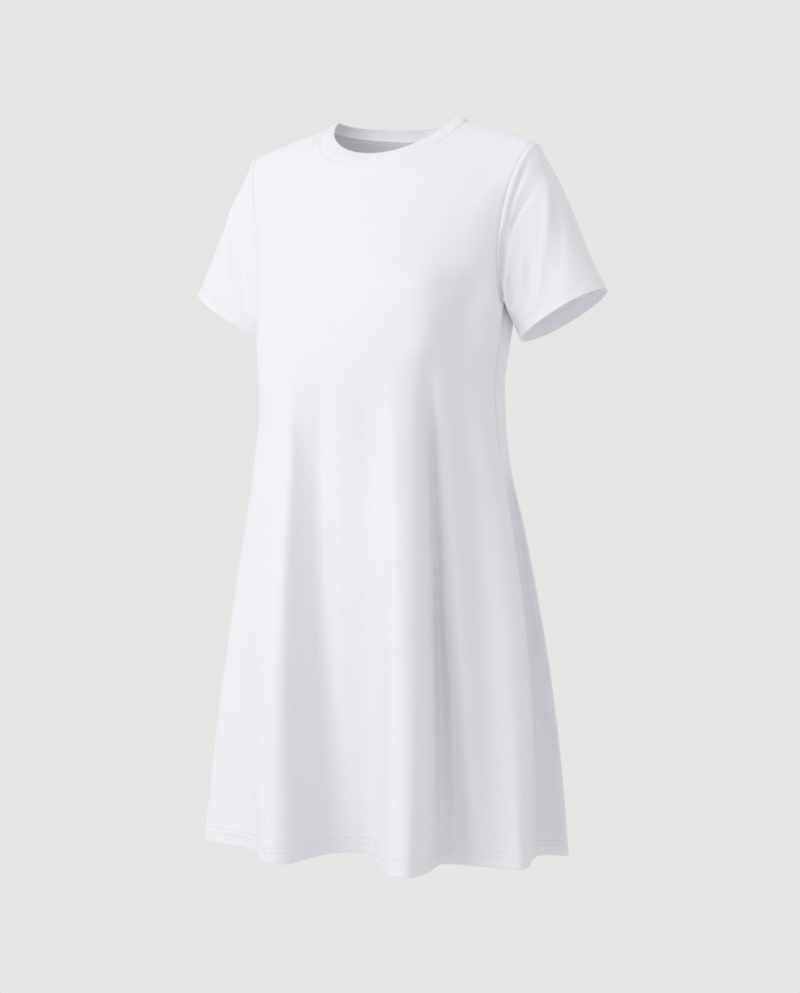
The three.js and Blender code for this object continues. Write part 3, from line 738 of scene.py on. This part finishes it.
def wall_faces(part, m, n, total):
    """Quads all round the rows of a wall, and strips that close a panel's two sides."""
    i = np.arange(total)[:, None]
    j = np.arange(n if part["wrap"] else n - 1)[None, :]
    nxt = (i + 1) % total
    quads = np.stack([i * n + j, i * n + (j + 1) % n, nxt * n + (j + 1) % n, nxt * n + j], -1)
    quads = quads.reshape(-1, 4)
    if part["flip"] < 0:
        quads = quads[:, ::-1]
    faces = quads.tolist()
    if part["wrap"]:
        return faces
    back = 2 * m + RIM_ROWS - 1
    rings = [[k, k + 1, back - k - 1, back - k] for k in range(m - 1)]
    rings += [list(range(m - 1, m + RIM_ROWS + 1)), [*range(back, back + RIM_ROWS + 1), 0]]
    for col, turn in ((0, part["flip"]), (n - 1, -part["flip"])):
        faces += [[row * n + col for row in ring][::turn] for ring in rings]
    return faces


def write_knit_map(mesh, part, us, vs, n):
    """Map of the cloth in metres: across the knit, and along it."""
    uv = mesh.uv_layers.new(name="knit")
    crosswise = np.array(us).reshape(-1) / 1000
    along = np.array(vs).reshape(-1) / 1000
    loops = np.empty(len(mesh.loops), np.int32)
    mesh.loops.foreach_get("vertex_index", loops)
    coords = np.stack([crosswise[loops], along[loops]], -1)
    if part["wrap"]:
        # the last span runs on past the start instead of back across the cloth
        shown = part["shown"]
        girth = np.linalg.norm(shown[:, 0] - shown[:, -1], axis=-1) + part["u"][:, -1]
        col = loops % n
        totals = np.empty(len(mesh.polygons), np.int32)
        mesh.polygons.foreach_get("loop_total", totals)
        owner = np.repeat(np.arange(len(totals)), totals)
        has_last = np.zeros(len(totals), bool)
        np.logical_or.at(has_last, owner, col == n - 1)
        coords[has_last[owner] & (col == 0), 0] += girth.mean() / 1000
    uv.data.foreach_set("uv", coords.astype(np.float32).ravel())


def add_mesh(name, points, faces):
    """A smooth mesh object from points in millimetres."""
    mesh = bpy.data.meshes.new(name)
    mesh.from_pydata((points / 1000).reshape(-1, 3).tolist(), [], faces)
    mesh.polygons.foreach_set("use_smooth", [True] * len(mesh.polygons))
    obj = bpy.data.objects.new(name, mesh)
    bpy.context.collection.objects.link(obj)
    return obj


def build(part):
    """The cloth of one piece: its grid moved out by its detail, with a wall of its thickness."""
    grid = part["grid"] + part["out"] * part["rise"][..., None]
    out = facing(grid, part["flip"], part["wrap"])
    m, n = grid.shape[:2]
    sewn = np.zeros((m, n), bool)
    sewn[0], sewn[-1] = True, True
    free = part["free"]
    for row in free:
        sewn[row] = False
    if not part["wrap"]:
        sewn[:, 0], sewn[:, -1] = True, True
    out[sewn] = part["out"][sewn]
    inner = grid - out * part["thick"][..., None]
    part["shown"], part["shown_out"] = grid, out
    over = round_rim(grid[-1], inner[-1], past(grid[-1], grid[-2], -1 in free))
    under = round_rim(inner[0], grid[0], past(grid[0], grid[1], 0 in free))
    u, v = part["u"], part["v"]
    rows = [*grid, *over, *inner[::-1], *under]
    us = [*u, *[u[-1]] * RIM_ROWS, *u[::-1], *[u[0]] * RIM_ROWS]
    vs = [*v, *[v[-1] + 0.5] * RIM_ROWS, *v[::-1], *[v[0] - 0.5] * RIM_ROWS]
    obj = add_mesh(part["name"] + "_cloth", np.array(rows), wall_faces(part, m, n, len(rows)))
    write_knit_map(obj.data, part, us, vs, n)
    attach(obj, "root")
    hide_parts(part["name"])
    return obj


# A stitch is a point, two rings of three corners and a point; its heights are in millimetres
STITCH_FACES = [
    (0, 2, 1), (0, 3, 2), (0, 1, 3),
    (1, 2, 5, 4), (2, 3, 6, 5), (3, 1, 4, 6),
    (7, 4, 5), (7, 5, 6), (7, 6, 4),
]
STITCH_HIGH = 0.2
STITCH_SUNK = 0.1
STITCH_CLEAR = 0.06


def stitches(name, points, out, closed, pitch, length, width):
    """A row of short thread stitches lying on the cloth along a line of points."""
    if closed:
        points = np.concatenate([points, points[:1]])
        out = np.concatenate([out, out[:1]])
    s = np.concatenate([[0], np.cumsum(np.linalg.norm(np.diff(points, axis=0), axis=1))])

    def at_distance(d, values):
        return np.array([np.interp(d, s, values[:, k]) for k in range(3)])

    verts, faces = [], []
    for at in np.arange(pitch / 2, s[-1] - pitch / 2, pitch):
        up = at_distance(at, out)
        up = up / np.linalg.norm(up)
        a, b = at_distance(at - length / 2, points), at_distance(at + length / 2, points)
        along = (b - a) / np.linalg.norm(b - a)
        side = np.cross(up, along) * width / 2
        mid = (a + b) / 2 + up * STITCH_CLEAR
        half = along * length * 0.3
        first = len(verts)
        verts.append(a - up * STITCH_SUNK)
        for end in (mid - half, mid + half):
            verts += [end + side, end + up * STITCH_HIGH, end - side]
        verts.append(b - up * STITCH_SUNK)
        faces += [tuple(first + k for k in face) for face in STITCH_FACES]
    obj = add_mesh(name, np.array(verts), faces)
    obj.data.materials.append(THREAD)
    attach(obj, "root")
    return obj


# Materials
def new_material(name):
    mat = bpy.data.materials.new(name)
    mat.use_nodes = True
    return mat, mat.node_tree.nodes, mat.node_tree.links


def noise(nodes, links, place, scale, detail=2):
    node = nodes.new("ShaderNodeTexNoise")
    node.inputs["Scale"].default_value = scale
    node.inputs["Detail"].default_value = detail
    links.new(place.outputs["Object"], node.inputs["Vector"])
    return node.outputs["Fac"]


def knit_material(name, light, dark):
    """Jersey: columns of small loops, with slubs, cloudy tone and fuzz, and painted shade in the
    hollows between the loops.
    """
    mat, nodes, links = new_material(name)
    shader = nodes["Principled BSDF"]
    shader.inputs["Specular IOR Level"].default_value = 0.25
    shader.inputs["Sheen Weight"].default_value = 0.18
    shader.inputs["Sheen Roughness"].default_value = 0.55

    def maths(kind, *values):
        node = nodes.new("ShaderNodeMath")
        node.operation = kind
        for socket, value in zip(node.inputs, values):
            if isinstance(value, (int, float)):
                socket.default_value = value
            else:
                links.new(value, socket)
        return node.outputs[0]

    uv = nodes.new("ShaderNodeUVMap")
    uv.uv_map = "knit"
    split = nodes.new("ShaderNodeSeparateXYZ")
    links.new(uv.outputs[0], split.inputs[0])
    across_loop = maths("FRACT", maths("DIVIDE", split.outputs[0], WALE))
    courses = maths("DIVIDE", split.outputs[1], COURSE)
    arm = maths("MULTIPLY", maths("ABSOLUTE", maths("SUBTRACT", across_loop, 0.5)), 2.0)
    column = maths("SINE", maths("MULTIPLY", across_loop, math.pi))
    turn = maths("MULTIPLY", maths("ADD", courses, maths("MULTIPLY", arm, 0.5)), 2 * math.pi)
    loop = maths("MULTIPLY_ADD", maths("COSINE", turn), 0.35, 0.65)
    stitch = maths("MULTIPLY", column, loop)

    place = nodes.new("ShaderNodeTexCoord")
    slub = noise(nodes, links, place, 60, 4)
    cloud = noise(nodes, links, place, 5)
    fuzz = noise(nodes, links, place, 900)

    mix = nodes.new("ShaderNodeMix")
    mix.data_type = "RGBA"
    mix.inputs["A"].default_value = (*dark, 1)
    mix.inputs["B"].default_value = (*light, 1)
    tone = maths("MULTIPLY_ADD", slub, 0.35, maths("MULTIPLY_ADD", cloud, 0.5, 0.5))
    # painted shade: the loop pattern also makes the colour lighter on the loops' tops and darker in
    # the hollows between them
    links.new(maths("MULTIPLY_ADD", stitch, 0.25, tone), mix.inputs["Factor"])
    links.new(mix.outputs["Result"], shader.inputs["Base Color"])
    links.new(maths("MULTIPLY_ADD", slub, 0.12, 0.77), shader.inputs["Roughness"])

    bump = nodes.new("ShaderNodeBump")
    bump.inputs["Strength"].default_value = 0.35
    bump.inputs["Distance"].default_value = LOOP_DEPTH
    links.new(maths("MULTIPLY_ADD", fuzz, 0.5, stitch), bump.inputs["Height"])
    links.new(bump.outputs[0], shader.inputs["Normal"])
    return mat


def thread_material():
    mat, nodes, links = new_material("thread")
    shader = nodes["Principled BSDF"]
    shader.inputs["Roughness"].default_value = 0.6
    shader.inputs["Sheen Weight"].default_value = 0.1
    place = nodes.new("ShaderNodeTexCoord")
    ramp = nodes.new("ShaderNodeValToRGB")
    ramp.color_ramp.elements[0].color = (0.8, 0.79, 0.82, 1)
    ramp.color_ramp.elements[1].color = (0.87, 0.86, 0.885, 1)
    links.new(noise(nodes, links, place, 700), ramp.inputs["Fac"])
    links.new(ramp.outputs["Color"], shader.inputs["Base Color"])
    return mat


# Spacing of the knit's columns and rows and the height of its loops, in metres
WALE = 0.0008
COURSE = 0.00062
LOOP_DEPTH = 0.00012
THREAD = thread_material()
FINISHES = {
    "jersey": knit_material("jersey", (0.85, 0.835, 0.88), (0.785, 0.77, 0.815)),
    "neckband": knit_material("neckband", (0.86, 0.845, 0.888), (0.795, 0.78, 0.825)),
}

# The garment
parts = [panel(-1), panel(1), sleeve("sleeve_left"), sleeve("sleeve_right"), neckband()]
share_edges(parts)
for part in parts:
    if "phi" in part:
        detail_panel(part)
        part["free"] = (0,)
    elif "theta" in part:
        detail_sleeve(part)
        part["free"] = (-1,)
    else:
        detail_band(part)
        part["free"] = (-1,)

for part in parts:
    slot = "neckband" if part["name"] == "neckband" else "jersey"
    obj = build(part)
    obj.data.materials.append(FINISHES[slot])

# Two rows of coverstitch along the hem and each cuff, on rows of the grids
HEM_THREAD = {"pitch": 3.3, "length": 2.7, "width": 0.5}
CUFF_THREAD = {"pitch": 3.3, "length": 2.6, "width": 0.36}
hems = {part["name"]: [] for part in parts}
for part in parts[:4]:
    if part["wrap"]:
        first, rows, thread = len(part["shown"]) - len(CUFF_ROWS), (5, 9), CUFF_THREAD
    else:
        first, rows, thread = 0, (9, 5), HEM_THREAD
    for tag, row in zip(("upper", "lower"), rows):
        line, out = part["shown"][first + row], part["shown_out"][first + row]
        name = f"stitch_{part['name']}_{tag}"
        hems[part["name"]].append(stitches(name, line, out, part["wrap"], **thread))

# Camera, at the photo's angle; the focal length and the aim in its pixels
IMAGE_HIGH = 993
FOCAL = 2500
AIM_DOWN = 91.5
CAMERA_FAR = 3.1
CAMERA_ASIDE = 0.00992
CAMERA_Z = -0.352
az = math.radians(30)
right = np.array([math.cos(az), math.sin(az), 0])
near = np.array([math.sin(az), -math.cos(az), 0])
up = np.array([0, 0, 1.0])
cam_data = bpy.data.cameras.new("camera")
cam_data.lens = FOCAL * 36 / IMAGE_HIGH
cam_data.sensor_width = 36
cam = bpy.data.objects.new("camera", cam_data)
cam.location = near * CAMERA_FAR + right * CAMERA_ASIDE + up * CAMERA_Z
cam.rotation_euler = (math.radians(90) - math.atan(AIM_DOWN / FOCAL), 0, az)
bpy.context.collection.objects.link(cam)
bpy.context.scene.camera = cam
scene = bpy.context.scene
scene.view_settings.view_transform = "Standard"
scene.view_settings.look = "None"

# World: one brightness to light by, and the plain backdrop that the camera sees
world = bpy.data.worlds.new("studio")
world.use_nodes = True
sky = world.node_tree
seen = sky.nodes["Background"]
seen.inputs["Color"].default_value = (0.7835, 0.7835, 0.7758, 1)
fill = sky.nodes.new("ShaderNodeBackground")
fill.name = "fill"
fill.inputs["Color"].default_value = (1, 1, 1, 1)
fill.inputs["Strength"].default_value = 0.785
path = sky.nodes.new("ShaderNodeLightPath")
pick = sky.nodes.new("ShaderNodeMixShader")
sky.links.new(path.outputs["Is Camera Ray"], pick.inputs["Fac"])
sky.links.new(fill.outputs[0], pick.inputs[1])
sky.links.new(seen.outputs[0], pick.inputs[2])
sky.links.new(pick.outputs[0], sky.nodes["World Output"].inputs["Surface"])
scene.world = world


def add_light(name, kind, power):
    data = bpy.data.lights.new(name, kind)
    data.energy = power
    obj = bpy.data.objects.new(name, data)
    bpy.context.collection.objects.link(obj)
    return obj


def area_light(name, toward, far, size, power):
    """A round soft light at a distance from the middle of the dress, facing it."""
    obj = add_light(name, "AREA", power)
    obj.data.shape = "DISK"
    obj.data.size = size
    toward = toward / np.linalg.norm(toward)
    obj.location = Vector((0, 0, -0.45)) + Vector(toward * far)
    obj.rotation_euler = Vector(toward).to_track_quat("Z", "Y").to_euler()


area_light("key", near * 0.59 - right * 0.77 + up * 0.27, 3.5, 2.2, 31)
area_light("top", near * 0.35 - right * 0.6 + up * 0.72, 3.2, 1.6, 5)
# the light that thin cloth lets through to its inside
for x, z, power in ((0.08, -0.12, 0.095), (0.2, -0.16, 0.022), (-0.2, -0.16, 0.022)):
    bulb = add_light("inside", "POINT", power)
    bulb.data.shadow_soft_size = 0.02
    bulb.location = (x, 0.0, z)
    bulb.visible_camera = False

# Floor: a plain pale disc below the hem
FLOOR_RADIUS = 1.25
FLOOR_Z = -1.4
ring = np.linspace(0, 2 * math.pi, 96, endpoint=False)
rim = [(FLOOR_RADIUS * math.cos(a), FLOOR_RADIUS * math.sin(a), FLOOR_Z) for a in ring]
disc = bpy.data.meshes.new("floor")
disc.from_pydata(rim, [], [list(range(len(rim)))])
floor = bpy.data.objects.new("floor", disc)
bpy.context.collection.objects.link(floor)
pale, nodes, _ = new_material("floor")
nodes["Principled BSDF"].inputs["Base Color"].default_value = (0.8, 0.8, 0.79, 1)
nodes["Principled BSDF"].inputs["Roughness"].default_value = 0.9
disc.materials.append(pale)
